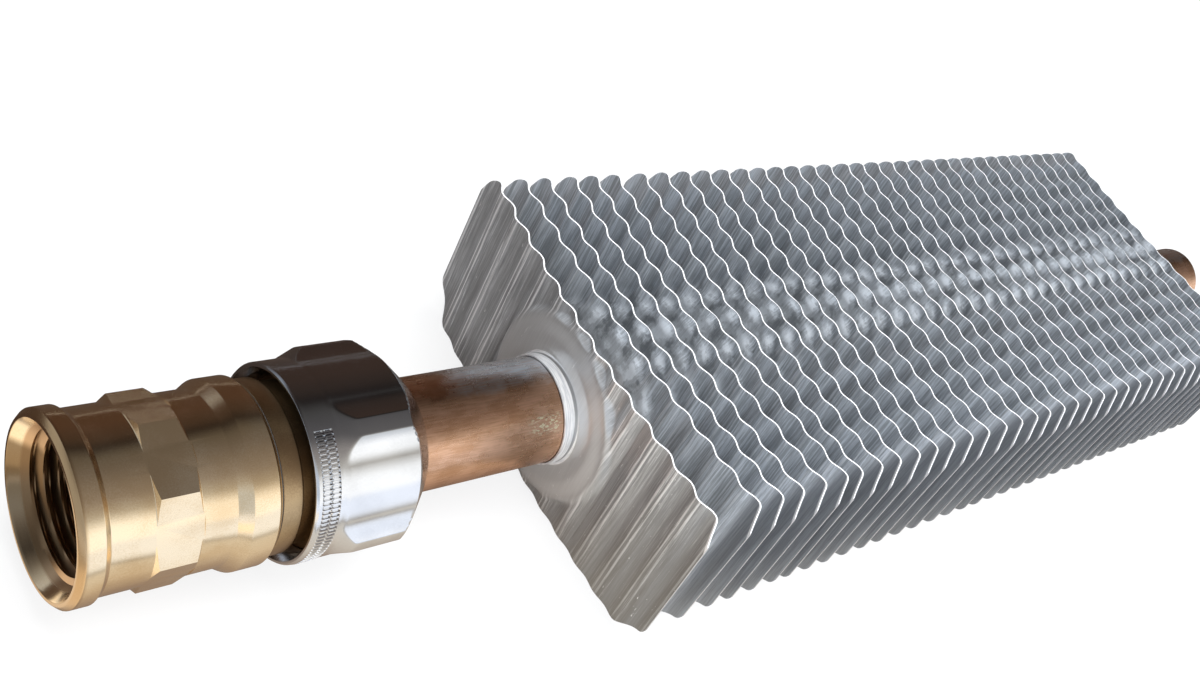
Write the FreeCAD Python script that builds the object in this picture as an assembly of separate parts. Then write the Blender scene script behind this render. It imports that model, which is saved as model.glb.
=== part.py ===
"""Finned tube convector: corrugated aluminium fins on a copper tube with a clamped brass coupling.

Sizes are in millimetres. The origin is the centre of the coupling's mouth, +X runs along the tube,
+Y across the fins and +Z up from their lower edges. Stations are counted along X from the mouth.
"""
import FreeCAD, Part
import math
import os

# Clearances
fit_gap = 0.08  # radial room between pieces that slide or screw together
grip_gap = 0.05  # radial room between the tube and what grips it
end_gap = 0.1  # room along the axis between pieces that meet end to end
cut_margin = 1.0  # how far a cutting shape reaches past what it cuts

# Copper tube
tube_outer_r = 9.0
tube_wall = 1.0
tube_stub = 30.0  # bare tube past the last fin
bare_tube = 26.35  # between the nut and the first fin's collar

# Corrugated fins
fin_count = 36
fin_pitch = 5.45
first_gap_extra = 1.2  # the first fin has slipped this much away from the second
first_fin_lean = 0.027  # and stands out this much more for each millimetre towards -Y
fin_length = 78.0  # along Y
fin_height = 35.0  # along Z
fin_sheet = 0.35
fin_bow = 1.5  # the middle of a fin stands this far nearer the coupling than its ends
corner_cut_y = 3.5
corner_cut_z = 6.5
wave_pitch = 6.0
wave_depth = 1.5  # crest to trough
hole_sides = 12  # of the fins inside the stack, whose collars can't be seen
collar_height = 2.4
collar_root = 0.6  # bevel between the collar and the land
land_height = 0.7  # the flat land round the collar stands this far above the wave crests
land_width = 3.5
land_slope_width = 3.8

# Nipple
waterway_r = 7.6
spigot_wall = 2.4
collar_rise = 0.85  # the nipple's collar above its relief
nipple_collar_length = 2.9
relief_depth = 1.3
relief_length = 3.6
male_thread_length = 8.4
nipple_mouth_wall = 2.1
cone_half_angle = 12.0
socket_land = 1.0  # straight part of the tube's socket behind the cone
small_edge = 0.3

# Clamping ring and cone seal
clamp_nose_wall = 0.95
clamp_widest_wall = 2.35
clamp_stand_off = 0.4  # the ring's widest radius above the cone's mouth
clamp_rear_angle = 45.0
cone_seal_length = 1.6

# Seal between the coupling body and the nipple
seal_thickness = 0.3
seal_width = 2.52

# Coupling body
inlet_thread_r = 9.32  # crests of the half inch pipe thread in the mouth
inlet_thread_length = 14.0
inlet_flare = 1.68  # widening of the mouth, as much along the axis as across
body_web = 2.7  # between the mouth's thread and the nipple's socket
neck_wall = 3.03
bead_rise = 0.7
bead_length = 3.0
mouth_chamfer = 0.7
bead_slope = 0.8
neck_length = 4.8
wrench_rise = 0.95  # corners of the wrench band above the neck
wrench_sides = 8
wrench_turn = 5.0  # degrees from -Y towards +Z to the first corner
wrench_length = 4.0
wrench_slope_front = 1.1
wrench_slope_rear = 1.5
barrel_wall = 2.32
barrel_length = 4.4
ring_rise = 1.1
ring_length = 3.5
ring_slope_front = 1.7
ring_slope_rear = 0.6

# Union nut
nut_mouth_gap = 0.8  # from the nipple's collar to the nut's mouth
nut_wall = 1.42
nut_lip_wall = 0.6
nut_countersink = 1.3
nut_band_length = 4.6
nut_rib_height = 1.25
nut_rib_count = 5
nut_rib_turn = 66.0  # degrees from -Y towards +Z to one rib
nut_rib_half_angle = 4.5
nut_flank_angle = 15.0
nut_flank_share = 0.22  # of the rib's height at the middle of its hollow flank
nut_front_slope = 2.5
nut_rib_overrun = 0.2  # past the clamping ring's end
nut_shoulder_wall = 2.22
nut_shoulder_length = 4.3
nut_tail_wall = 1.12
nut_tail_length = 0.9

# Radii that follow
tube_hole_r = tube_outer_r + fit_gap
grip_r = tube_outer_r + grip_gap
clamp_nose_r = grip_r + clamp_nose_wall
clamp_widest_r = grip_r + clamp_widest_wall
cone_mouth_r = clamp_widest_r - clamp_stand_off
male_thread_r = cone_mouth_r + nipple_mouth_wall
relief_r = male_thread_r - relief_depth
nipple_collar_r = relief_r + collar_rise
spigot_r = waterway_r + spigot_wall
socket_r = spigot_r + fit_gap
neck_r = inlet_thread_r + neck_wall
bead_r = neck_r + bead_rise
wrench_corner_r = neck_r + wrench_rise
barrel_r = socket_r + barrel_wall
ring_r = barrel_r + ring_rise
female_thread_r = male_thread_r + fit_gap
nut_band_r = female_thread_r + nut_wall
nut_rib_r = nut_band_r + nut_rib_height
land_flat_r = tube_outer_r + land_width
land_rim_r = land_flat_r + land_slope_width

# Stations that follow
neck_start = bead_length + bead_slope
wrench_start = neck_start + neck_length
wrench_top = wrench_start + wrench_slope_front
wrench_fall = wrench_top + wrench_length
barrel_start = wrench_fall + wrench_slope_rear
ring_start = barrel_start + barrel_length
ring_top = ring_start + ring_slope_front
ring_fall = ring_top + ring_length
body_end = ring_fall + ring_slope_rear
inlet_thread_end = inlet_flare + inlet_thread_length
socket_start = inlet_thread_end + body_web
nipple_collar_start = body_end + seal_thickness
relief_start = nipple_collar_start + nipple_collar_length
male_thread_start = relief_start + relief_length
nipple_end = male_thread_start + male_thread_length
cone_slope = math.tan(math.radians(cone_half_angle))
cone_start = nipple_end - (cone_mouth_r - tube_hole_r) / cone_slope
tube_seat = cone_start - socket_land
clamp_start = nipple_end - (cone_mouth_r - clamp_nose_r) / cone_slope + end_gap
clamp_widest = clamp_start + (clamp_widest_r - clamp_nose_r) / cone_slope
clamp_rear_slope = math.tan(math.radians(clamp_rear_angle))
clamp_end = clamp_widest + (clamp_widest_r - clamp_nose_r) / clamp_rear_slope
nut_start = relief_start + nut_mouth_gap
nut_band_end = nut_start + nut_band_length
nut_rib_start = nut_band_end + nut_front_slope
nut_rib_end = clamp_end + nut_rib_overrun
nut_shoulder_end = nut_rib_end + nut_shoulder_length
nut_end = nut_shoulder_end + nut_tail_length
wave_half_depth = wave_depth / 2
collar_edge_first = nut_end + bare_tube
first_fin_x = collar_edge_first + collar_height + land_height + wave_half_depth + fin_bow

X_AXIS = FreeCAD.Vector(1, 0, 0)
ORIGIN = FreeCAD.Vector(0, 0, 0)


def fin_x(index):
    """Station of a fin's mid plane at its ends, for an index from 0."""
    if index == 0:
        return first_fin_x
    return first_fin_x + first_gap_extra + index * fin_pitch


tube_end = fin_x(fin_count - 1) + wave_half_depth + fin_sheet + tube_stub


def polar(x, radius, degrees):
    """Point at a radius and an angle counted from -Y towards +Z."""
    angle = math.radians(degrees)
    return FreeCAD.Vector(x, -radius * math.cos(angle), radius * math.sin(angle))


def turned(profile):
    """Solid of revolution about the tube's axis from (station, radius) points."""
    points = [FreeCAD.Vector(x, 0, r) for x, r in profile]
    face = Part.Face(Part.makePolygon(points + points[:1]))
    return face.revolve(ORIGIN, X_AXIS, 360)


def cylinder(x_start, x_end, radius):
    return Part.makeCylinder(radius, x_end - x_start, FreeCAD.Vector(x_start, 0, 0), X_AXIS)


def prism(x_start, x_end, flat_r, sides, turn):
    """Regular prism along X whose flats lie at flat_r, with a corner at the angle turn."""
    corner_r = flat_r / math.cos(math.pi / sides)
    corners = [polar(x_start, corner_r, turn + i * 360 / sides) for i in range(sides)]
    face = Part.Face(Part.makePolygon(corners + corners[:1]))
    return face.extrude(FreeCAD.Vector(x_end - x_start, 0, 0))


def bow_at(y):
    """How far a fin stands towards the coupling at a place across it."""
    return fin_bow * (1 - (2 * y / fin_length) ** 2)


def fin_outline(reach):
    """Block with the outline of a fin, its four corners cut, from -reach to reach along X."""
    y_end = fin_length / 2
    z_end = fin_height / 2
    y_cut = y_end - corner_cut_y
    z_cut = z_end - corner_cut_z
    edge = [(y_cut, z_end), (y_end, z_cut), (y_end, -z_cut), (y_cut, -z_end),
            (-y_cut, -z_end), (-y_end, -z_cut), (-y_end, z_cut), (-y_cut, z_end)]
    corners = [FreeCAD.Vector(-reach, y, z) for y, z in edge]
    face = Part.Face(Part.makePolygon(corners + corners[:1]))
    return face.extrude(FreeCAD.Vector(2 * reach, 0, 0))


def corrugated_sheet(lean):
    """Bowed zigzag sheet with its mid plane at x = 0 at the ends, cut at the four corners."""
    wave_count = max(1, round(fin_length / wave_pitch))
    step = fin_length / (2 * wave_count)
    front = []
    for i in range(2 * wave_count + 1):
        y = -fin_length / 2 + i * step
        wave = wave_half_depth if i % 2 else -wave_half_depth
        front.append(FreeCAD.Vector(wave - bow_at(y) + lean * y, y, -fin_height / 2))
    back = [point + FreeCAD.Vector(fin_sheet, 0, 0) for point in reversed(front)]
    profile = Part.Face(Part.makePolygon(front + back + front[:1]))
    sheet = profile.extrude(FreeCAD.Vector(0, 0, fin_height))
    reach = fin_bow + wave_depth + fin_sheet + abs(lean) * fin_length
    return sheet.common(fin_outline(reach))


def inner_fin():
    """Fin inside the stack: the corrugated sheet with a many-sided hole for the tube."""
    reach = fin_bow + wave_depth + fin_sheet
    return corrugated_sheet(0).cut(prism(-reach, reach, grip_r, hole_sides, 0))


def end_fin(lean):
    """Fin at an end of the stack, with its pressed land and its drawn collar in full."""
    collar_r = grip_r + fin_sheet
    crest = -fin_bow - wave_half_depth
    land = crest - land_height
    collar_edge = land - collar_height
    rim_back = wave_half_depth + fin_sheet - bow_at(land_rim_r)
    land_inner_rim_r = land_rim_r - fin_sheet
    land_pressing = turned([
        (collar_edge, grip_r), (collar_edge, collar_r), (land - collar_root, collar_r),
        (land, collar_r + collar_root), (land, land_flat_r), (crest, land_rim_r),
        (rim_back, land_rim_r), (rim_back, land_inner_rim_r), (crest + fin_sheet, land_inner_rim_r),
        (land + fin_sheet, land_flat_r), (land + fin_sheet, grip_r)])
    reach = fin_bow + wave_depth + fin_sheet
    opening = cylinder(-reach, reach, land_rim_r - fin_sheet / 2)
    return corrugated_sheet(lean).cut(opening).fuse(land_pressing).removeSplitter()


def tube():
    inner_r = tube_outer_r - tube_wall
    start = tube_seat + end_gap
    return turned([(start, inner_r), (start, tube_outer_r), (tube_end, tube_outer_r), (tube_end, inner_r)])


def coupling_body():
    """Brass body with a threaded mouth, wrench flats, and a socket that the nipple screws into."""
    blank = turned([
        (0, inlet_thread_r + inlet_flare), (0, bead_r - mouth_chamfer), (mouth_chamfer, bead_r),
        (bead_length, bead_r), (neck_start, neck_r), (wrench_start, neck_r),
        (wrench_top, wrench_corner_r), (wrench_fall, wrench_corner_r), (barrel_start, barrel_r),
        (ring_start, barrel_r), (ring_top, ring_r), (ring_fall, ring_r),
        (body_end, ring_r - ring_slope_rear), (body_end, socket_r), (socket_start, socket_r),
        (socket_start, waterway_r), (inlet_thread_end, waterway_r), (inlet_thread_end, inlet_thread_r),
        (inlet_flare, inlet_thread_r)])
    flat_r = wrench_corner_r * math.cos(math.pi / wrench_sides)
    band = prism(wrench_start, barrel_start, flat_r, wrench_sides, wrench_turn)
    outside = cylinder(wrench_start, barrel_start, wrench_corner_r + cut_margin)
    return blank.cut(outside.cut(band))


def body_seal():
    outer_r = socket_r + seal_width
    return turned([(body_end, socket_r), (body_end, outer_r),
                   (nipple_collar_start, outer_r), (nipple_collar_start, socket_r)])


def nipple():
    """Brass nipple: spigot in the body, collar against the seal, male thread and cone for the tube."""
    spigot_start = socket_start + end_gap
    return turned([
        (spigot_start, waterway_r), (spigot_start, spigot_r),
        (nipple_collar_start, spigot_r), (nipple_collar_start, nipple_collar_r),
        (relief_start - small_edge, nipple_collar_r), (relief_start, nipple_collar_r - small_edge),
        (relief_start, relief_r), (male_thread_start, relief_r),
        (male_thread_start + relief_depth / 2, male_thread_r), (nipple_end - small_edge, male_thread_r),
        (nipple_end, male_thread_r - small_edge), (nipple_end, cone_mouth_r), (cone_start, tube_hole_r),
        (tube_seat, tube_hole_r), (tube_seat, waterway_r)])


def cone_r(x):
    """Radius of the nipple's clamping cone at a station."""
    return cone_mouth_r - cone_slope * (nipple_end - x)


def cone_seal():
    """Rubber ring at the bottom of the cone, in front of the clamping ring."""
    end = clamp_start - end_gap
    start = end - cone_seal_length
    return turned([(start, grip_r), (start, cone_r(start) - grip_gap),
                   (end, cone_r(end) - grip_gap), (end, grip_r)])


def clamping_ring():
    """Brass ring wedged on the tube between the nipple's cone and the nut's inner seat."""
    return turned([(clamp_start, grip_r), (clamp_start, clamp_nose_r), (clamp_widest, clamp_widest_r),
                   (clamp_end, clamp_nose_r), (clamp_end, grip_r)])


def rib_section():
    """Cross-section of the nut: a round band with ribs whose flanks are hollow."""
    pitch = 360 / nut_rib_count
    flank_r = nut_band_r + nut_rib_height * nut_flank_share
    edges = []
    for i in range(nut_rib_count):
        top = nut_rib_turn + i * pitch
        left = top - nut_rib_half_angle
        right = top + nut_rib_half_angle
        foot = right + nut_flank_angle
        next_left = left + pitch
        next_foot = next_left - nut_flank_angle
        arcs = [((nut_rib_r, left), (nut_rib_r, top), (nut_rib_r, right)),
                ((nut_rib_r, right), (flank_r, (right + foot) / 2), (nut_band_r, foot)),
                ((nut_band_r, foot), (nut_band_r, (foot + next_foot) / 2), (nut_band_r, next_foot)),
                ((nut_band_r, next_foot), (flank_r, (next_foot + next_left) / 2), (nut_rib_r, next_left))]
        for arc in arcs:
            edges.append(Part.Arc(*[polar(nut_band_end, r, angle) for r, angle in arc]).toShape())
    return Part.Face(Part.Wire(edges))


def union_nut():
    """Ribbed nut: threaded mouth on the nipple, seat on the clamping ring, bore on the tube."""
    seat_end = clamp_end + end_gap
    seat_start = seat_end - (female_thread_r - clamp_nose_r) / clamp_rear_slope
    blank = turned([
        (nut_start, nut_band_r - nut_lip_wall), (nut_start, nut_band_r - small_edge),
        (nut_start + small_edge, nut_band_r), (nut_band_end, nut_band_r), (nut_rib_start, nut_rib_r),
        (nut_rib_end, nut_rib_r), (nut_shoulder_end, tube_hole_r + nut_shoulder_wall),
        (nut_end, tube_hole_r + nut_tail_wall), (nut_end, tube_hole_r), (seat_end, tube_hole_r),
        (seat_end, clamp_nose_r), (seat_start, female_thread_r),
        (nut_start + nut_countersink, female_thread_r)])
    outside = cylinder(nut_band_end, nut_end, nut_rib_r + cut_margin)
    ribs = rib_section().extrude(FreeCAD.Vector(nut_end - nut_band_end, 0, 0))
    return blank.cut(outside.cut(ribs))


def export(shape, node):
    solids = shape.Solids
    if len(solids) != 1 or not solids[0].isValid():
        raise ValueError("%s is not one sound solid" % node)
    solids[0].exportStep("parts/%s.step" % node)


def main():
    os.makedirs("parts", exist_ok=True)
    export(tube(), "copper_tube")
    export(coupling_body(), "coupling_body")
    export(body_seal(), "body_seal")
    export(nipple(), "nipple")
    export(cone_seal(), "cone_seal")
    export(clamping_ring(), "clamping_ring")
    export(union_nut(), "union_nut")
    middle_fin = inner_fin()
    for index in range(fin_count):
        if index == 0:
            fin = end_fin(first_fin_lean)
        elif index == fin_count - 1:
            fin = end_fin(0)
        else:
            fin = middle_fin.copy()
        fin.translate(FreeCAD.Vector(fin_x(index), 0, 0))
        export(fin, "fin_%02d" % (index + 1))


main()
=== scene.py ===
"""Looks of the finned tube convector: pressed fins, turned brass, plated nut and copper tube.

Lengths are in millimetres, and finish_piece turns each piece into metres at the end.
"""
import math

import bmesh
import bpy
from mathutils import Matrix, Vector


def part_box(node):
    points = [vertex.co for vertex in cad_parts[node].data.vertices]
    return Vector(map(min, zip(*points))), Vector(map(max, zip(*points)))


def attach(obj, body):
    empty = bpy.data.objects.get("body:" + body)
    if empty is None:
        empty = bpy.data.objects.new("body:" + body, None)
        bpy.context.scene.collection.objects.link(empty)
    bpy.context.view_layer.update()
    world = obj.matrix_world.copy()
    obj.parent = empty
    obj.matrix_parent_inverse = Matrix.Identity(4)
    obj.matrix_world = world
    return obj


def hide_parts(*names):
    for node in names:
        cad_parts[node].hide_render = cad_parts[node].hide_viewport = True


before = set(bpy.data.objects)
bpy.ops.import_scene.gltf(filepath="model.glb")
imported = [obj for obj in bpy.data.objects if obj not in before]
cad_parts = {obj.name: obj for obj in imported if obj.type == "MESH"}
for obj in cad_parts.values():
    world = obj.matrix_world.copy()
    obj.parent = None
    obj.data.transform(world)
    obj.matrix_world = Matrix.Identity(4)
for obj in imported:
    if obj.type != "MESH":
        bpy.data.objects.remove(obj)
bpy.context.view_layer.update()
MM = 0.001


def node_span(node):
    """Lowest and highest corner of a node in millimetres."""
    low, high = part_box(node)
    return low / MM, high / MM


# Camera, from the photograph's perspective
camera_place = Vector((-53.588, -97.888, 153.418))
camera_turn = (48.6183, -29.2588, -39.1073)
camera_focal = 39.433
camera_shift_x = -0.15

# Fins
fin_length = 78.0
fin_height = 35.0
fin_sheet = 0.28
wave_pitch = 6.0
wave_half_depth = 0.47
wave_foot_share = 0.35  # what is left of the wave at the fin's foot
wave_foot_height = 6.0
cad_wave_half_depth = 0.75
cad_fin_sheet = 0.35
first_fin_set = (1.0, 2.2, 0.027, -0.05)  # shift, bow, lean for each millimetre of Y and of Z
second_fin_set = (0.9, 2.15, -0.029, 0.0)
inner_fin_set = (1.35, 2.65, 0.0, -0.05)
inner_fin_drift = (  # shift and lean along Y of the fins behind the second, against the inner fins' set
    (0.28, -0.030), (0.23, -0.018), (0.02, -0.026), (-0.03, -0.030), (-0.18, 0.007), (-0.10, 0.010),
    (-0.13, 0.016), (0.0, 0.016), (-0.10, 0.016), (-0.10, 0.020), (0.03, 0.011), (0.05, 0.009),
    (0.15, -0.004), (0.20, -0.008), (0.20, -0.011), (0.24, 0.005))
last_fins_drift = (0.2, 0.0)
fin_corners = (  # side along Y and Z, cut along Y and Z, rounding
    (1, 1, 1.8, 4.8, 3.5),
    (-1, 1, 1.8, 5.2, 0.9),
    (1, -1, 5.0, 7.5, 3.0),
    (-1, -1, 6.0, 5.0, 3.0))
land_station = -2.6
land_slope_height = 0.7
land_flat_r = 12.5
land_rim_r = 15.8
land_wall = 1.5
collar_r = 9.4
collar_height = 2.4
collar_root = 0.7
collar_root_steps = 4
dense_half_width = 17.6  # the grid keeps its rows only this far from the tube
first_fin_cell = (0.3, 0.35)
fin_cell = (0.5, 0.7)

# Turned pieces: stations along the tube and radii
tube_r = 9.0
tube_inner_r = 8.0
tube_hole_r = 9.08
tube_near_end = 78.0  # end of the stretch with closely spaced points
tube_dent = (54.2, 96, 0.22)  # station, angle, depth
waterway_r = 7.6
thread_pitch = 1.814
thread_point_step = 0.15

inlet_crest_r = 9.32
inlet_root_r = 10.48
inlet_end = 15.68
inlet_fade = 1.2
flare_r = 11.9
flare_end_r = 9.9
flare_depth = 2.6
flare_steps = 8
neck_r = 12.35
bead_r = 13.05
bead_start = 0.7
bead_end = 3.0
neck_start = 3.8
wrench_corner_r = 13.3
wrench_start = 9.3
wrench_end = 15.0
wrench_flats = 8
wrench_turn = 5  # degrees
barrel_r = 12.4
barrel_end = 19.6
ring_r = 13.5
ring_start = 21.3
ring_end = 24.8
ring_edge_r = 12.9
body_end = 25.4
socket_start = 18.38
socket_r = 10.08

nipple_start = 18.48
spigot_r = 10.0
nipple_collar_start = 25.7
nipple_collar_end = 28.6
nipple_collar_r = 12.65
relief_r = 11.8
relief_end = 32.2
male_thread_start = 32.9
male_crest_r = 13.1
male_root_r = 11.95
nipple_end = 40.6
cone_mouth_r = 11.0
cone_start = 31.57
tube_seat = 30.57

nut_start = 29.4
nut_mouth_r = 14.0
nut_edge_r = 14.35
nut_edge_end = 29.75
nut_band_r = 14.6
nut_band_end = 34.0
nut_rise = (2.6, 1.5, 10)  # length, height and steps of the slope up to the ribs
nut_rib_r = 15.85
nut_rib_span = (37.0, 43.6)
nut_rib_corner = 43.9
nut_taper_start = 44.2
nut_taper = (4.28, 4.55, 12)  # length, height and steps
nut_end = 49.38
nut_lip_r = 10.45
nut_bore_r = 13.18
nut_cone_start = 40.9
nut_cone_end = 44.08
nut_cone_end_r = 10.0
rib_angle = 72  # from one rib to the next
rib_place = 66
rib_half_top = 4.5
rib_flank = 15
rib_round = 0.2
knurl_teeth = 130
knurl_rows = (30.9, 32.3)
knurl_half_width = 0.6
knurl_rise = 0.12
knurl_drop = 0.16
knurl_gap = (69, 150)  # degrees left bare

fin_nodes = sorted(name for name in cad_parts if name.startswith("fin_"))


def deselect():
    if bpy.context.object and bpy.context.object.mode != "OBJECT":
        bpy.ops.object.mode_set(mode="OBJECT")
    bpy.ops.object.select_all(action="DESELECT")


def edit(thing):
    deselect()
    bpy.context.view_layer.objects.active = thing
    thing.select_set(True)
    bpy.ops.object.mode_set(mode="EDIT")


def choose(thing, kind, wanted):
    """Selects in edit mode the vertices, edges or faces for which wanted(element) is true."""
    bpy.ops.mesh.select_mode(type={"verts": "VERT", "edges": "EDGE", "faces": "FACE"}[kind])
    bpy.ops.mesh.select_all(action="DESELECT")
    mesh = bmesh.from_edit_mesh(thing.data)
    for element in getattr(mesh, kind):
        if wanted(element):
            element.select_set(True)
    mesh.select_flush_mode()
    bmesh.update_edit_mesh(thing.data)


def finish_piece(thing, smooth_angle):
    """Puts the piece's place and metres into its mesh and shades it."""
    deselect()
    bpy.context.view_layer.objects.active = thing
    thing.select_set(True)
    thing.scale = (MM, MM, MM)
    bpy.ops.object.transform_apply(location=True, rotation=True, scale=True)
    bpy.ops.object.shade_smooth_by_angle(angle=math.radians(smooth_angle))
    deselect()


def rounded_profile(corners, fine=8):
    """Closed profile of (station, radius) points from corners (station, radius, rounding)."""
    points = []
    count = len(corners)
    for i, (x, r, rounding) in enumerate(corners):
        here = Vector((x, r))
        before = Vector(corners[i - 1][:2]) - here
        after = Vector(corners[(i + 1) % count][:2]) - here
        turn = math.pi - before.angle(after)
        if rounding == 0 or turn < math.radians(3):
            points.append(here)
            continue
        reach = min(rounding * math.tan(turn / 2), 0.45 * before.length, 0.45 * after.length)
        start = here + before.normalized() * reach
        end = here + after.normalized() * reach
        steps = max(2, round(math.degrees(turn) / 90 * fine))
        for k in range(steps + 1):
            t = k / steps
            points.append(start * (1 - t) ** 2 + here * 2 * t * (1 - t) + end * t ** 2)
    return points


def lathe(name, corners, segments, fine=6):
    """Turned piece about the tube's axis, drawn point by point and spun."""
    points = rounded_profile(corners, fine)
    bpy.ops.mesh.primitive_plane_add(size=1, location=(0, 0, 0))
    piece = bpy.context.object
    piece.name = name
    edit(piece)
    bpy.ops.mesh.merge(type="CENTER")
    x, r = points[0]
    bpy.ops.transform.translate(value=(x, 0, r))
    for before, after in zip(points, points[1:]):
        step = after - before
        bpy.ops.mesh.extrude_vertices_move(TRANSFORM_OT_translate={"value": (step.x, 0, step.y)})
    bpy.ops.mesh.select_all(action="SELECT")
    bpy.ops.mesh.edge_face_add()
    bpy.ops.mesh.delete(type="ONLY_FACE")
    bpy.ops.mesh.select_all(action="SELECT")
    bpy.ops.mesh.spin(steps=segments, angle=math.tau, center=(0, 0, 0), axis=(1, 0, 0))
    bpy.ops.mesh.select_all(action="SELECT")
    bpy.ops.mesh.remove_doubles(threshold=1e-4)
    bpy.ops.mesh.normals_make_consistent(inside=False)
    bpy.ops.object.mode_set(mode="OBJECT")
    return piece


# Fins

def fin_front(y, z, fin_set):
    """Station of a fin's front face from its plane: bow, wave, and the pressed land round the collar."""
    shift, bow, lean_y, lean_z = fin_set
    from_foot = min(1.0, (z + fin_height / 2) / wave_foot_height)
    wave = wave_half_depth * math.cos(math.tau * y / wave_pitch)
    wave *= wave_foot_share + (1 - wave_foot_share) * from_foot
    sheet = shift + wave - bow * (1 - (2 * y / fin_length) ** 2) + lean_y * y + lean_z * z
    r = math.hypot(y, z)
    land = land_station + lean_y * y + lean_z * z
    if r > land_flat_r:
        slope = min(1.0, (r - land_flat_r) / (land_rim_r - land_flat_r))
        land += land_slope_height * slope * slope * (3 - 2 * slope)
    share = min(1.0, max(0.0, (r - land_rim_r) / land_wall))
    share = share * share * (3 - 2 * share)
    return land * (1 - share) + sheet * share


def corner_planes(cut_y, cut_z, corner_round):
    """Points and outward normals of the planes that cut and round a fin's corner at +Y, +Z."""
    cut = Vector((cut_z, cut_y)).normalized()
    y_end, z_end = fin_length / 2, fin_height / 2
    planes = [(Vector((y_end - cut_y, z_end)), cut)]
    for vertex, side in ((Vector((y_end - cut_y, z_end)), Vector((0, 1))),
                         (Vector((y_end, z_end - cut_z)), Vector((1, 0)))):
        centre = vertex - corner_round * (cut + side) / (1 + cut.dot(side))
        for step in range(1, 8):
            share = step / 8
            normal = (cut * share + side * (1 - share)).normalized()
            planes.append((centre + corner_round * normal, normal))
    return planes


def pressed_fin(name, cell, fin_set, metal):
    """One fin: a grid bent by its dies, with trimmed corners, a drawn collar and the sheet's thickness."""
    cell_y, cell_z = cell
    columns = round(fin_length / cell_y)
    rows = round(fin_height / cell_z)
    bpy.ops.mesh.primitive_grid_add(x_subdivisions=columns, y_subdivisions=rows, size=1,
                                    rotation=(math.pi / 2, 0, math.pi / 2))
    fin = bpy.context.object
    fin.name = name
    fin.scale = (fin_length, fin_height, 1)
    deselect()
    fin.select_set(True)
    bpy.ops.object.transform_apply(location=True, rotation=True, scale=True)
    edit(fin)
    for side_y, side_z, cut_y, cut_z, corner_round in fin_corners:
        for point, normal in corner_planes(cut_y, cut_z, corner_round):
            bpy.ops.mesh.select_all(action="SELECT")
            bpy.ops.mesh.bisect(plane_co=(0, point.x * side_y, point.y * side_z),
                                plane_no=(0, normal.x * side_y, normal.y * side_z), clear_outer=True)
    hole_r = collar_r + collar_root
    choose(fin, "verts", lambda v: math.hypot(v.co.y, v.co.z) < hole_r)
    bpy.ops.mesh.delete(type="VERT")
    choose(fin, "edges", lambda e: all(abs(v.co.y) > dense_half_width for v in e.verts)
           and abs(e.verts[0].co.z - e.verts[1].co.z) < 1e-4 and not e.is_boundary)
    bpy.ops.mesh.dissolve_edges(use_verts=True)
    choose(fin, "verts", lambda v: v.is_boundary and math.hypot(v.co.y, v.co.z) < land_flat_r)
    mesh = bmesh.from_edit_mesh(fin.data)
    for v in mesh.verts:
        r = math.hypot(v.co.y, v.co.z)
        for ring in (land_rim_r, land_rim_r + land_wall):
            if abs(r - ring) < 0.3 * min(cell_y, cell_z):
                v.co *= ring / r
        if v.select:
            v.co *= hole_r / r
        v.co.x = fin_front(v.co.y, v.co.z, fin_set)
    bmesh.update_edit_mesh(fin.data)
    x, r = 0.0, hole_r
    for k in range(1, collar_root_steps + 2):
        if k <= collar_root_steps:
            angle = math.radians(90 * k / collar_root_steps)
            new_x = -collar_root * (1 - math.cos(angle))
            new_r = hole_r - collar_root * math.sin(angle)
        else:
            new_x, new_r = -collar_height, collar_r
        bpy.ops.mesh.extrude_region_move(TRANSFORM_OT_translate={"value": (new_x - x, 0, 0)})
        if new_r != r:
            bpy.ops.transform.resize(value=(1, new_r / r, new_r / r), center_override=(0, 0, 0))
        x, r = new_x, new_r
    bpy.ops.mesh.select_all(action="SELECT")
    bpy.ops.mesh.normals_make_consistent(inside=False)
    bpy.ops.object.mode_set(mode="OBJECT")
    land_faces = [p for p in fin.data.polygons
                  if hole_r < math.hypot(p.center.y, p.center.z) < land_flat_r]
    if land_faces[0].normal.x > 0:
        edit(fin)
        bpy.ops.mesh.select_all(action="SELECT")
        bpy.ops.mesh.flip_normals()
        bpy.ops.object.mode_set(mode="OBJECT")
    sheet = fin.modifiers.new("sheet", "SOLIDIFY")
    sheet.thickness = fin_sheet
    sheet.offset = -1
    sheet.use_even_offset = False
    sheet.material_offset_rim = 1
    fin.data.materials.append(metal)
    fin.data.materials.append(cut_edge)
    fin.data.materials.append(collar_metal)
    for face in fin.data.polygons:
        if math.hypot(face.center.y, face.center.z) < collar_r + 0.5 * collar_root:
            face.material_index = 2
    deselect()
    bpy.context.view_layer.objects.active = fin
    bpy.ops.object.modifier_apply(modifier="sheet")
    return fin


def place_fin(fin, node, drift=(0.0, 0.0)):
    """Puts a fin on its node's plane, which the CAD's zigzag reaches past with its furthest fold."""
    high = node_span(node)[1]
    lean = first_fin_set[2] if node == fin_nodes[0] else 0.0
    plane = high.x - cad_wave_half_depth - cad_fin_sheet - lean * fin_length / 2
    fin.location.x = (plane + drift[0]) * MM
    fin.rotation_euler.z = -drift[1]
    finish_piece(fin, 35)
    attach(fin, "root")
    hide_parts(node)


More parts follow.
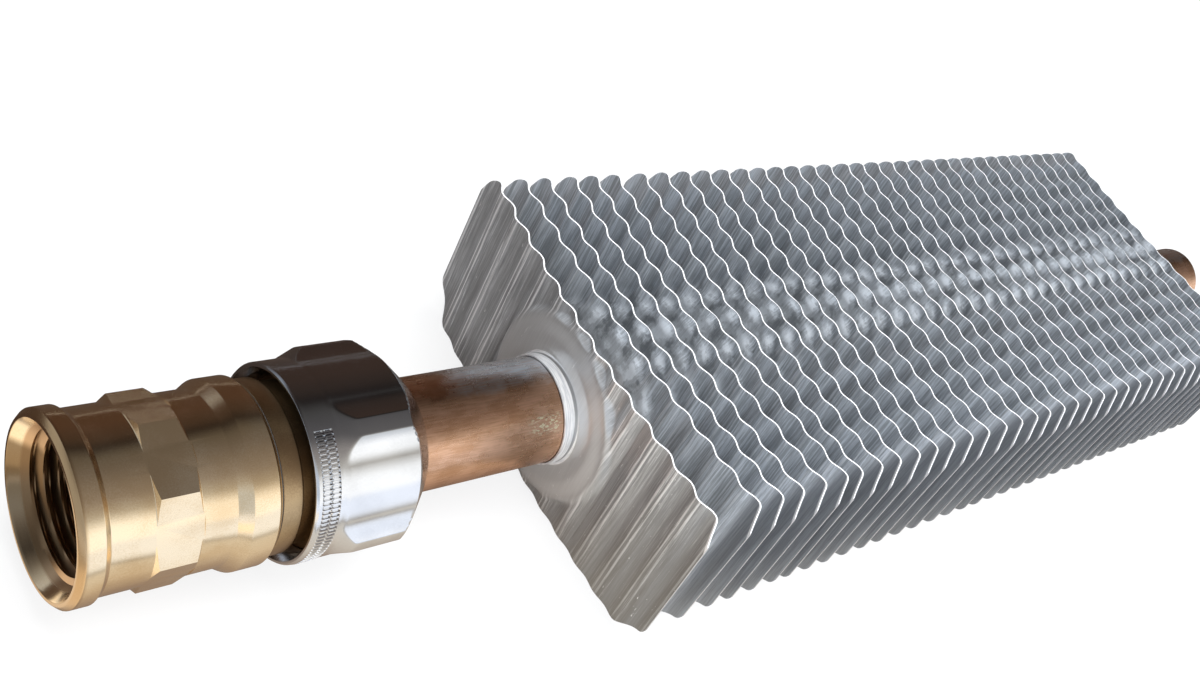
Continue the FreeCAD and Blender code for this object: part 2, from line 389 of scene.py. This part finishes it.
def make_fins():
    place_fin(pressed_fin("pressed_fin_01", first_fin_cell, first_fin_set, end_fin_metal), fin_nodes[0])
    place_fin(pressed_fin("pressed_fin_02", fin_cell, second_fin_set, fin_metal), fin_nodes[1])
    pattern = pressed_fin("pressed_fin_03", fin_cell, inner_fin_set, fin_metal)
    for i, node in enumerate(fin_nodes[3:], 1):
        fin = pattern.copy()
        fin.data = pattern.data.copy()
        fin.name = "pressed_" + node
        bpy.context.collection.objects.link(fin)
        place_fin(fin, node, inner_fin_drift[i] if i < len(inner_fin_drift) else last_fins_drift)
    place_fin(pattern, fin_nodes[2], inner_fin_drift[0])


# Coupling, nut and tube

def spread(start, end, step, r):
    """Evenly spaced profile points along a straight wall, for a wall that gets a pattern."""
    count = max(1, round(abs(end - start) / step))
    return [(start + (end - start) * i / count, r, 0) for i in range(count + 1)]


def slope(start, start_r, length, rise, steps, inner=False):
    """Evenly spaced profile points up a straight slope, with or without its two ends."""
    return [(start + length * i / steps, start_r + rise * i / steps, 0)
            for i in (range(1, steps) if inner else range(steps + 1))]


def shape_round(piece, wanted):
    """Moves each vertex in or out: wanted(station, angle, radius) gives its new radius."""
    edit(piece)
    mesh = bmesh.from_edit_mesh(piece.data)
    for v in mesh.verts:
        x, y, z = v.co
        r = math.hypot(y, z)
        new_r = wanted(x, math.degrees(math.atan2(z, -y)), r)
        v.co.y *= new_r / r
        v.co.z *= new_r / r
    bmesh.update_edit_mesh(piece.data)
    bpy.ops.object.mode_set(mode="OBJECT")


def groove(x, angle, pitch):
    """Share of a right-handed thread's depth at a station and angle, from 0 on its crest to 1 in its root."""
    phase = (x / pitch - angle / 360) % 1
    return min(1.0, max(0.0, 1.25 * abs(2 * phase - 1) - 0.125))


def soft_least(a, b, width):
    """The lower of two radii, rounded where they meet."""
    near = max(width - abs(a - b), 0) / width
    return min(a, b) - near * near * width / 4


def make_coupling_body():
    flare = slope(0, flare_r, flare_depth, flare_end_r - flare_r, flare_steps, inner=True)
    body = lathe("brass_coupling", [
        (0, flare_r, 0.1), (0, neck_r, 0.3), (bead_start, bead_r, 0.3), (bead_end, bead_r, 0.25),
        (neck_start, neck_r, 0.3), (wrench_start, neck_r, 0.25),
        (wrench_start + 0.45, wrench_corner_r + 0.1, 0.1), (wrench_end - 0.6, wrench_corner_r + 0.1, 0.1),
        (wrench_end, barrel_r, 0.4), (barrel_end, barrel_r, 0.7), (ring_start, ring_r, 0.6),
        (ring_end, ring_r, 0.2), (body_end, ring_edge_r, 0.1), (body_end, socket_r, 0),
        (socket_start, socket_r, 0), (socket_start, waterway_r, 0.2), (inlet_end + 0.3, waterway_r, 0.2)]
        + spread(inlet_end, flare_depth, thread_point_step, inlet_crest_r)
        + flare[::-1], 160)

    def bore(x, angle, r):
        if r > flare_end_r + 0.85 or x > inlet_end - 0.02:
            return r
        deep = inlet_crest_r + (inlet_root_r - inlet_crest_r) * groove(x, angle, thread_pitch)
        fade = min(1.0, (inlet_end - x) / inlet_fade)
        return max(r, inlet_crest_r + (deep - inlet_crest_r) * fade)

    shape_round(body, bore)
    bpy.ops.mesh.primitive_circle_add(vertices=wrench_flats, radius=wrench_corner_r,
                                      location=(wrench_start - 0.2, 0, 0))
    cutter = bpy.context.object
    edit(cutter)
    bpy.ops.mesh.select_all(action="SELECT")
    mesh = bmesh.from_edit_mesh(cutter.data)
    for i, v in enumerate(mesh.verts):
        angle = math.radians(wrench_turn + 360 / wrench_flats * i)
        v.co = (0, -wrench_corner_r * math.cos(angle), wrench_corner_r * math.sin(angle))
    bmesh.update_edit_mesh(cutter.data)
    bpy.ops.mesh.extrude_region_move()
    bpy.ops.transform.resize(value=(1, 1.2, 1.2), center_override=(0, 0, 0))
    bpy.ops.mesh.select_all(action="SELECT")
    bpy.ops.mesh.extrude_region_move(
        TRANSFORM_OT_translate={"value": (wrench_end - wrench_start + 0.5, 0, 0)})
    bpy.ops.mesh.select_all(action="SELECT")
    bpy.ops.mesh.normals_make_consistent(inside=False)
    bpy.ops.object.mode_set(mode="OBJECT")
    flats = body.modifiers.new("flats", "BOOLEAN")
    flats.operation = "DIFFERENCE"
    flats.solver = "EXACT"
    flats.object = cutter
    deselect()
    bpy.context.view_layer.objects.active = body
    bpy.ops.object.modifier_apply(modifier="flats")
    bpy.data.objects.remove(cutter)
    body.data.materials.clear()
    body.data.materials.append(brass)
    finish_piece(body, 14)
    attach(body, "root")
    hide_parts("coupling_body")


def make_nipple():
    nipple = lathe("brass_nipple", [
        (nipple_start, waterway_r, 0), (nipple_start, spigot_r, 0.2), (nipple_collar_start, spigot_r, 0),
        (nipple_collar_start, nipple_collar_r, 0.15), (nipple_collar_end, nipple_collar_r, 0.35),
        (nipple_collar_end, relief_r, 0.2), (relief_end, relief_r, 0.3)]
        + spread(male_thread_start, nipple_end - 0.3, thread_point_step, male_crest_r)
        + [(nipple_end, male_crest_r - 0.4, 0), (nipple_end, cone_mouth_r, 0.1),
           (cone_start, tube_hole_r, 0.2), (tube_seat, tube_hole_r, 0), (tube_seat, waterway_r, 0)], 128)

    def threaded(x, angle, r):
        if x < relief_end + 0.3 or r < relief_r + 0.2:
            return r
        return min(r, male_crest_r - (male_crest_r - male_root_r) * groove(x, angle, thread_pitch))

    shape_round(nipple, threaded)
    nipple.data.materials.append(dull_gap_shaded_brass)
    finish_piece(nipple, 20)
    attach(nipple, "root")
    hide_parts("nipple")


def rib_height(angle):
    """Height share of the nut's ribs: flat tops with hollow flanks."""
    from_top = abs((angle - rib_place + rib_angle / 2) % rib_angle - rib_angle / 2)
    t = min(1.0, max(0.0, (from_top - rib_half_top) / rib_flank))
    return 1.12 * t * t - 2.12 * t + 1


def make_union_nut():
    nut = lathe("union_nut_ribbed", [
        (nut_start, nut_mouth_r, 0.1), (nut_start, nut_edge_r, 0.1), (nut_edge_end, nut_band_r, 0.2)]
        + spread(30.2, 33.1, 0.2, nut_band_r) + [(33.5, nut_band_r, 0)]
        + slope(nut_band_end, nut_band_r, *nut_rise)
        + spread(*nut_rib_span, 0.6, nut_rib_r + 0.25) + [(nut_rib_corner, nut_rib_r + 0.2, 0)]
        + slope(nut_taper_start, nut_rib_r, nut_taper[0], -nut_taper[1], nut_taper[2])
        + [(nut_end - 0.2, nut_lip_r, 0.1), (nut_end, nut_lip_r - 0.35, 0.1), (nut_end, tube_hole_r, 0),
           (nut_cone_end, tube_hole_r, 0), (nut_cone_end, nut_cone_end_r, 0), (nut_cone_start, nut_bore_r, 0),
           (nut_start + 1.3, nut_bore_r, 0.1)], knurl_teeth * 4)

    def forged(x, angle, r):
        if r < nut_bore_r + 0.32 and x < nut_taper_start:
            return r
        if nut_band_end - 0.3 < x < nut_end - 0.78 and r > tube_hole_r + 0.5:
            section = nut_band_r + (nut_rib_r - nut_band_r) * rib_height(angle)
            return soft_least(r, section, rib_round)
        tooth = math.sin(math.radians(angle * knurl_teeth))
        for row in knurl_rows:
            in_row = r > nut_band_r - 0.2 and abs(x - row) < knurl_half_width
            if in_row and not knurl_gap[0] < angle < knurl_gap[1]:
                return r + (knurl_rise if tooth > 0 else -knurl_drop)
        return r

    shape_round(nut, forged)
    nut.data.materials.append(plated)
    finish_piece(nut, 30)
    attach(nut, "root")
    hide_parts("union_nut")


def make_tube():
    low, high = node_span("copper_tube")
    tube = lathe("copper_tube_drawn", spread(low.x, tube_near_end, 1.2, tube_r)
                 + [(high.x - 0.4, tube_r, 0), (high.x, tube_r - 0.3, 0), (high.x, tube_inner_r + 0.15, 0),
                    (high.x - 0.3, tube_inner_r, 0), (low.x, tube_inner_r, 0)], 120)
    station, turn, depth = tube_dent

    def worn(x, angle, r):
        if r < (tube_r + tube_inner_r) / 2:
            return r
        return r - depth * math.exp(-((x - station) / 0.8) ** 2 - ((angle - turn) / 7) ** 2)

    shape_round(tube, worn)
    tube.data.materials.append(copper)
    finish_piece(tube, 30)
    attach(tube, "root")
    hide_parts("copper_tube")


# Finishes

class Wire:
    """A value in a node tree; arithmetic on it adds Math nodes."""

    def __init__(self, nodes, socket):
        self.nodes = nodes
        self.socket = socket

    def math(self, operation, *others):
        made = self.nodes.tree.nodes.new("ShaderNodeMath")
        made.operation = operation
        for place, value in zip(made.inputs, (self,) + others):
            self.nodes.feed(place, value)
        return Wire(self.nodes, made.outputs[0])

    def __add__(self, other):
        return self.math("ADD", other)

    __radd__ = __add__

    def __sub__(self, other):
        return self.math("SUBTRACT", other)

    def __rsub__(self, other):
        return (self * -1) + other

    def __mul__(self, other):
        return self.math("MULTIPLY", other)

    def __truediv__(self, other):
        return self.math("DIVIDE", other)

    def __pow__(self, other):
        return self.math("POWER", other)

    def step(self, low, high):
        """0 at low and 1 at high, smooth between; low may be the larger."""
        return self.nodes.wire("ShaderNodeMapRange", {"interpolation_type": "SMOOTHSTEP"},
                               {"Value": self, "From Min": low, "From Max": high})


class Nodes:
    """The node tree of a material or a world."""

    def __init__(self, owner):
        owner.use_nodes = True
        self.tree = owner.node_tree
        self.tree.nodes.clear()

    def feed(self, socket, value):
        if isinstance(value, Wire):
            self.tree.links.new(value.socket, socket)
        else:
            socket.default_value = value

    def node(self, kind, settings=None, sockets=None):
        made = self.tree.nodes.new(kind)
        for key, value in (settings or {}).items():
            setattr(made, key, value)
        for key, value in (sockets or {}).items():
            self.feed(made.inputs[key], value)
        return made

    def wire(self, kind, settings=None, sockets=None, output=0):
        """One output of a new node."""
        return Wire(self, self.node(kind, settings, sockets).outputs[output])

    def axes(self, coordinates):
        """The three values of a kind of texture coordinates."""
        place = self.wire("ShaderNodeTexCoord", output=coordinates)
        split = self.node("ShaderNodeSeparateXYZ", None, {0: place})
        return [Wire(self, socket) for socket in split.outputs]

    def place(self):
        """Object coordinates in millimetres as three values."""
        return [value * (1 / MM) for value in self.axes("Object")]

    def noise(self, x, y, z, detail=3.0, roughness=0.5, scale=1.0):
        vector = self.wire("ShaderNodeCombineXYZ", None, {0: x, 1: y, 2: z})
        return self.wire("ShaderNodeTexNoise", None,
                         {"Vector": vector, "Scale": scale, "Detail": detail, "Roughness": roughness})

    def blend(self, share, first, second):
        colors = [value if isinstance(value, Wire) else (*value, 1) for value in (first, second)]
        made = self.node("ShaderNodeMix", {"data_type": "RGBA"}, {0: share, 6: colors[0], 7: colors[1]})
        return Wire(self, made.outputs[2])

    def ramp(self, value, stops):
        """Colour read off stops of (position, colour), the first at 0 and the last at 1."""
        made = self.node("ShaderNodeValToRGB", None, {0: value})
        elements = made.color_ramp.elements
        elements[0].color = (*stops[0][1], 1)
        elements[1].color = (*stops[-1][1], 1)
        for position, color in stops[1:-1]:
            elements.new(position).color = (*color, 1)
        return Wire(self, made.outputs[0])

    def by_ray(self, ray, others, seen):
        """A shader that only one kind of ray meets, and another for the rest."""
        share = self.wire("ShaderNodeLightPath", output=ray)
        return self.wire("ShaderNodeMixShader", None, {0: share, 1: others, 2: seen})


class Finish(Nodes):
    """A material built on one Principled shader."""

    def __init__(self, name, **constants):
        self.material = bpy.data.materials.new(name)
        super().__init__(self.material)
        self.shader = self.node("ShaderNodeBsdfPrincipled")
        self.node("ShaderNodeOutputMaterial", None, {0: Wire(self, self.shader.outputs[0])})
        for key, value in constants.items():
            self.shader.inputs[key.capitalize()].default_value = value

    def surface(self, color, roughness=None, height=None, bump=0.1, depth=1.0):
        """Feeds the shader; depth is the relief's height in millimetres."""
        self.feed(self.shader.inputs["Base Color"], color)
        if roughness is not None:
            self.feed(self.shader.inputs["Roughness"], roughness)
        if height is not None:
            normal = self.wire("ShaderNodeBump", None,
                               {"Strength": bump, "Distance": depth * MM, "Height": height})
            self.feed(self.shader.inputs["Normal"], normal)
        return self.material


# Colours of rolled_aluminium's and turned_metal's marks, and of their painted shade, shadows and highlights
warm_shadow = (0.20, 0.185, 0.165)
rolled_gloss = (0.96, 0.97, 0.98)
fold_highlight = (1.0, 1.0, 1.0)
scuffed = (0.85, 0.85, 0.84)
land_glint = (0.90, 0.95, 1.0)
land_shadow = (0.12, 0.13, 0.14)
last_flank_shade = (0.22, 0.23, 0.25)
sheared = (0.97, 0.97, 0.97)
mouth_shadow = (0.16, 0.10, 0.05)


def rolled_aluminium(name, dark, light, wear_and_painted_light, dim, metallic):
    """Strip with rolling lines along Z, scuff marks, and painted light: highlights along the fold lines and
    the near corner's cut, shade in the wave troughs and on the last flank, and highlights and shadows round
    the land.

    scuffs is the face's wear and also the strength of the painted shade in the wave troughs and of the
    painted highlights on the fold lines, and dim the strength of its painted shade towards the near lower
    corner.
    """
    finish = Finish(name, metallic=metallic)
    x, y, z = finish.place()
    r = (y * y + z * z) ** 0.5
    phase = y * (math.tau / wave_pitch)
    low_corner = (y * -1 - z).step(-5, 45)
    off_land = r.step(land_rim_r - 1, land_rim_r + 2)

    streak = finish.noise(x * 0.6, y * 3.4, z * 0.09, 5.0, 0.7)
    broad = finish.noise(x * 0.12, y * 0.2, z * 0.06, 2.0)
    share = (streak * 0.8 + broad * 0.2).step(0.41, 0.61) * (0.35 + off_land * 0.65)
    color = finish.blend(share, dark, light)
    # Painted shade: the face turns darker and warmer towards the near lower corner.
    color = finish.blend(low_corner * dim, color, warm_shadow)
    gloss = streak.step(0.58, 0.70) * off_land * (0.45 + 0.4 * wear_and_painted_light)
    color = finish.blend(gloss * (1 - low_corner * dim), color, rolled_gloss)

    crest = phase.math("COSINE") * -1
    # Painted shade in the wave troughs.
    color = finish.blend((crest * -1).step(-0.1, 0.8) * off_land * wear_and_painted_light * 0.35, color, dark)
    # Painted highlights along the folds beside each wave's crest, fading in the painted shade of the near
    # lower corner.
    line = crest.step(0.70, 0.82) * (1 - crest.step(0.93, 0.98)) * off_land
    fold = line * streak.step(0.34, 0.54) * wear_and_painted_light * (1 - low_corner * 0.8)
    color = finish.blend(fold, color, fold_highlight)

    color = finish.blend((1 - off_land) * wear_and_painted_light * 0.5, color, scuffed)
    scuff = finish.noise(x * 0.3, y * 1.3, z * 0.35 + 9.0, 3.0, 0.7)
    color = finish.blend(scuff.step(0.66, 0.76) * wear_and_painted_light, color, scuffed)

    # Painted highlights and painted shadows in a cloudy band round the land's rim of the inner fins.
    cloud = finish.noise(x * 0.9, y * 0.30, z * 0.22, 4.0, 0.6) + (phase + 0.8).math("SINE") * 0.09
    zone = (1 - r.step(land_rim_r + 0.5, land_rim_r + 3.5)) * r.step(land_flat_r - 2, land_flat_r)
    zone = zone * (1 - wear_and_painted_light)
    color = finish.blend(zone * cloud.step(0.50, 0.64), color, land_glint)
    color = finish.blend(zone * (1 - cloud.step(0.33, 0.47)) * 0.9, color, land_shadow)
    # Painted shade on the last flank at the fins' near end.
    color = finish.blend((y * -1).step(34.0, 36.0) * (1 - wear_and_painted_light), color, last_flank_shade)

    # Painted highlight: a strip of the face along the near upper corner's cut takes the cut edge's bright
    # colour.
    cut_y, cut_z = fin_corners[1][2:4]
    out_y = (fin_length / 2 - cut_y) * -1 - y
    out_z = z - fin_height / 2
    from_cut = (out_y * cut_z + out_z * cut_y) / math.hypot(cut_y, cut_z)
    color = finish.blend(from_cut.step(-0.5, -0.3) * z.step(10, 11), color, sheared)
    roughness = 0.27 + off_land * 0.10 + streak * 0.12
    return finish.surface(color, roughness, streak + line * 1.5, 0.25, 0.06)


def drawn_collar():
    """Collar with drawing rings, near white partly from its drawn polish and partly as a painted highlight,
    and a dark line at its root on the first fin.
    """
    finish = Finish("drawn aluminium collar", metallic=0.6)
    x, y, z = finish.place()
    ring = finish.noise(x * 5.0, y * 0.3, z * 0.3, 3.0, 0.6)
    # Near-white colours: drawn polish and, in part, a painted highlight on the collar's side.
    color = finish.blend(ring.step(0.4, 0.6), (0.72, 0.73, 0.75), (0.97, 0.97, 0.97))
    root = node_span(fin_nodes[0])[0].x + collar_height - 0.75
    line = x.step(root - 0.3, root - 0.15) * (1 - x.step(root + 0.1, root + 0.25))
    color = finish.blend(line * 0.8, color, (0.20, 0.20, 0.20))
    return finish.surface(color, 0.28 + ring * 0.1, ring, 0.25, 0.05)


def sheared_edge():
    """Bright cut edge of the sheet, darker along the strip's own two ends at ±Y as painted shade."""
    finish = Finish("sheared aluminium edge", roughness=0.5, metallic=0.2)
    x, y, z = finish.place()
    color = finish.blend(finish.noise(x * 4, y * 4, z * 4), (0.86, 0.87, 0.88), (0.98, 0.98, 0.98))
    # Painted shade on the sheet's two ends at ±Y.
    end_edge_shade = y.math("ABSOLUTE").step(fin_length / 2 - 0.15, fin_length / 2 - 0.05)
    return finish.surface(finish.blend(end_edge_shade, color, (0.42, 0.40, 0.38)))


def turned_metal(name, bright, dark, roughness, grain=0.05, mouth=None, shade=None):
    """Turned metal with fine rings.

    mouth gives the colours of the flat rim and of the inside, both darker brass as painted shade, and shade
    that of the far upper side.
    """
    finish = Finish(name, metallic=1.0)
    x, y, z = finish.place()
    rings = finish.noise(x * 7.0, y * 0.06, z * 0.06, 4.0, 0.6)
    speck = finish.noise(x * 5.0, y * 5.0, z * 5.0, 3.0, 0.6)
    patch = finish.noise(x * 0.12, y * 0.12, z * 0.12)
    color = finish.blend((patch * 0.7 + speck * 0.3).step(0.38, 0.62), dark, bright)
    rough = roughness + patch * 0.08
    if mouth:
        r = (y * y + z * z) ** 0.5
        face = (1 - x.step(0.5, 1.2)) * r.step(flare_r - 0.1, flare_r)
        inside = x.step(0.9, 1.6) * (1 - r.step(10.7, 11.0))
        # Painted shade: the flat rim and the inside of the mouth are darker brass.
        color = finish.blend(face * 0.9, color, mouth[0])
        color = finish.blend(inside, color, mouth[1])
        # Painted shadow in the lower part of the mouth and its thread.
        turned_away = (z * -1 + y * 0.3).step(2.5, 4.5) * (y - z * 0.2).step(-4, 2)
        in_mouth = (1 - x.step(15, 16)) * (1 - r.step(flare_r - 0.1, flare_r + 0.1))
        color = finish.blend(turned_away * in_mouth * 0.85, color, mouth_shadow)
        rough = rough + inside * 0.16 + face * 0.1
    if shade:
        color = finish.blend((z + y * 0.5).step(8.2, 10.5) * 0.8, color, shade)
    return finish.surface(color, rough, rings * 0.10 + speck * grain, 1.0, 0.03)


def drawn_copper():
    """Copper with drawing scratches, worn grey above near the fins, with bright flakes by the collar."""
    finish = Finish("drawn copper", metallic=1.0)
    x, y, z = finish.place()
    scratch = finish.noise(x * 0.25, y * 4.0, z * 4.0, 4.0, 0.65)
    patch = finish.noise(x * 0.22, y * 0.3, z * 0.3, 4.0, 0.6)
    fleck = finish.noise(x * 1.3, y * 2.5, z * 2.5, 3.0, 0.7)
    share = (scratch * 0.5 + patch * 0.5).step(0.38, 0.62)
    color = finish.blend(share, (0.62, 0.36, 0.22), (0.84, 0.53, 0.37))
    wander = patch - 0.5
    worn = (y + wander * 5).step(-1.5, 1.2) * z.step(2.0, 4.0) * (x + wander * 12).step(53, 61)
    color = finish.blend(worn * (scratch.step(0.30, 0.62) * 0.5 + 0.45), color, (0.90, 0.95, 1.0))
    flakes = x.step(67.5, 70.5) * (1 - x.step(74.0, 75.0)) * z.step(4.0, 5.2) * (1 - z.step(6.4, 7.2))
    color = finish.blend(flakes * (1 - y.step(-3, -1)) * fleck.step(0.54, 0.57), color, (1.0, 0.90, 0.66))
    return finish.surface(color, 0.20 + patch * 0.16, scratch, 0.5, 0.03)


def plain_rubber():
    finish = Finish("black rubber", roughness=0.6)
    grain = finish.noise(*finish.place(), scale=2.0)
    return finish.surface(finish.blend(grain, (0.02, 0.018, 0.016), (0.05, 0.045, 0.04)))


fin_metal = rolled_aluminium("rolled aluminium", (0.40, 0.43, 0.46), (0.76, 0.81, 0.87),
                             wear_and_painted_light=0.3, dim=0.0, metallic=0.55)
end_fin_metal = rolled_aluminium("rolled aluminium of the end fin", (0.34, 0.345, 0.35), (0.62, 0.63, 0.64),
                                 wear_and_painted_light=1.0, dim=0.78, metallic=0.66)
cut_edge = sheared_edge()
collar_metal = drawn_collar()
brass = turned_metal("turned brass", (0.96, 0.80, 0.57), (0.82, 0.63, 0.40), 0.13, grain=0.10,
                     mouth=((0.50, 0.33, 0.17), (0.62, 0.42, 0.25)))
# Darker brass as painted shade: the nipple shows only in the gap between the body and the nut.
dull_gap_shaded_brass = turned_metal("dull brass in painted gap shade", (0.52, 0.38, 0.22), (0.34, 0.23, 0.13), 0.32)
plated = turned_metal("nickel plating", (0.84, 0.85, 0.87), (0.74, 0.75, 0.77), 0.13, grain=0.12,
                      shade=(0.30, 0.32, 0.35))
copper = drawn_copper()
rubber = plain_rubber()


def coat_cad_nodes():
    for node, finish in (("clamping_ring", brass), ("body_seal", rubber), ("cone_seal", rubber)):
        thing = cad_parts[node]
        thing.data.materials.clear()
        thing.data.materials.append(finish)


# Stage

mirrored_start = -200
mirrored_end = 100
mirrored_stops = (  # Y in millimetres and what a mirror sees there: painted reflections, with a painted dark line near -49 and a painted shadow under the object from -12 to 5
    (mirrored_start, (1.0, 1.05, 1.15)), (-70, (1.05, 1.1, 1.2)), (-55, (0.9, 0.92, 0.95)),
    (-49, (0.3, 0.26, 0.22)), (-44, (0.75, 0.70, 0.62)), (-25, (0.7, 0.62, 0.52)),
    (-12, (0.38, 0.30, 0.24)), (5, (0.10, 0.07, 0.055)), (mirrored_end, (0.10, 0.07, 0.055)))
mouth_light = (1.3, 1.14, 0.92)

room_stops = (  # turn about X, from -Y at 0 over the top to +Y at 1
    (0.0, (1.25, 1.25, 1.25)), (0.12, (1.2, 1.2, 1.18)), (0.20, (0.5, 0.47, 0.42)),
    (0.30, (0.3, 0.27, 0.25)), (0.48, (0.17, 0.155, 0.15)), (0.58, (0.12, 0.11, 0.10)),
    (0.66, (0.025, 0.018, 0.015)), (0.72, (0.06, 0.04, 0.03)), (0.85, (0.085, 0.05, 0.035)),
    (1.0, (0.085, 0.05, 0.035)))
side_sky = (0.62, 0.68, 0.76)
room_fill = (0.55, 0.56, 0.58)


def make_stage():
    floor_z = node_span(fin_nodes[1])[0].z * MM
    bpy.ops.mesh.primitive_plane_add(size=6, location=(0, 0, floor_z))
    floor = bpy.context.object
    floor.name = "floor"
    paper = bpy.data.materials.new("white paper")
    nodes = Nodes(paper)
    x, y = nodes.place()[:2]
    reach = mirrored_end - mirrored_start
    stops = [((place - mirrored_start) / reach, color) for place, color in mirrored_stops]
    far = nodes.ramp((y - mirrored_start) / reach, stops)
    # For glossy rays the floor glows with painted reflections, and a painted pool of light lies before the
    # mouth.
    before_mouth = x.step(2, -4) * x.step(-36, -28) * y.step(17, 10)
    mirrored = nodes.wire("ShaderNodeEmission", None, {0: nodes.blend(before_mouth, far, mouth_light)})
    matt = nodes.wire("ShaderNodeBsdfDiffuse", None, {"Color": (0.85, 0.85, 0.85, 1)})
    glow = nodes.wire("ShaderNodeEmission")
    seen = nodes.wire("ShaderNodeMixShader", None, {0: 0.75, 1: matt, 2: glow})
    shader = nodes.by_ray("Is Camera Ray", nodes.by_ray("Is Glossy Ray", matt, mirrored), seen)
    nodes.node("ShaderNodeOutputMaterial", None, {0: shader})
    floor.data.materials.append(paper)
    deselect()


def make_world():
    world = bpy.data.worlds.new("studio")
    bpy.context.scene.world = world
    nodes = Nodes(world)
    x, y, z = nodes.axes("Generated")
    room = nodes.ramp(z.math("ARCTAN2", y * -1) / math.pi, room_stops)
    sky = nodes.blend(x.step(-0.05, -0.55) * z.step(0.6, 0.35), room, side_sky)
    mirrored = nodes.wire("ShaderNodeBackground", None, {0: sky})
    fill = nodes.wire("ShaderNodeBackground", None, {0: (*room_fill, 1)})
    white = nodes.wire("ShaderNodeBackground", None, {0: (1, 1, 1, 1)})
    shader = nodes.by_ray("Is Camera Ray", nodes.by_ray("Is Glossy Ray", fill, mirrored), white)
    nodes.node("ShaderNodeOutputWorld", None, {0: shader})


def add_lamp(name, place, target, size, power, color=(1, 1, 1)):
    lamp = bpy.data.lights.new(name, "AREA")
    lamp.shape = "RECTANGLE"
    lamp.size, lamp.size_y = size[0] * MM, size[1] * MM
    lamp.energy = power
    lamp.color = color
    thing = bpy.data.objects.new(name, lamp)
    bpy.context.collection.objects.link(thing)
    thing.location = Vector(place) * MM
    direction = Vector(target) - Vector(place)
    thing.rotation_euler = direction.to_track_quat("-Z", "Y").to_euler()
    return thing


def make_lights():
    for lamp in (add_lamp("window", (-300, -800, 700), (80, 0, 0), (700, 500), 9.0, (0.93, 0.96, 1.0)),
                 add_lamp("ceiling", (200, -200, 1200), (120, 0, 0), (900, 900), 18.0)):
        lamp.visible_glossy = False


def make_camera():
    lens = bpy.data.cameras.new("camera")
    lens.sensor_width = 36.0
    lens.lens = camera_focal
    lens.shift_x = camera_shift_x
    lens.clip_start = 0.01
    lens.clip_end = 50.0
    camera = bpy.data.objects.new("camera", lens)
    bpy.context.collection.objects.link(camera)
    camera.location = camera_place * MM
    camera.rotation_euler = [math.radians(angle) for angle in camera_turn]
    bpy.context.scene.camera = camera


make_camera()
make_stage()
make_world()
make_lights()
coat_cad_nodes()
make_coupling_body()
make_nipple()
make_union_nut()
make_tube()
make_fins()

scene = bpy.context.scene
scene.view_settings.view_transform = "Standard"
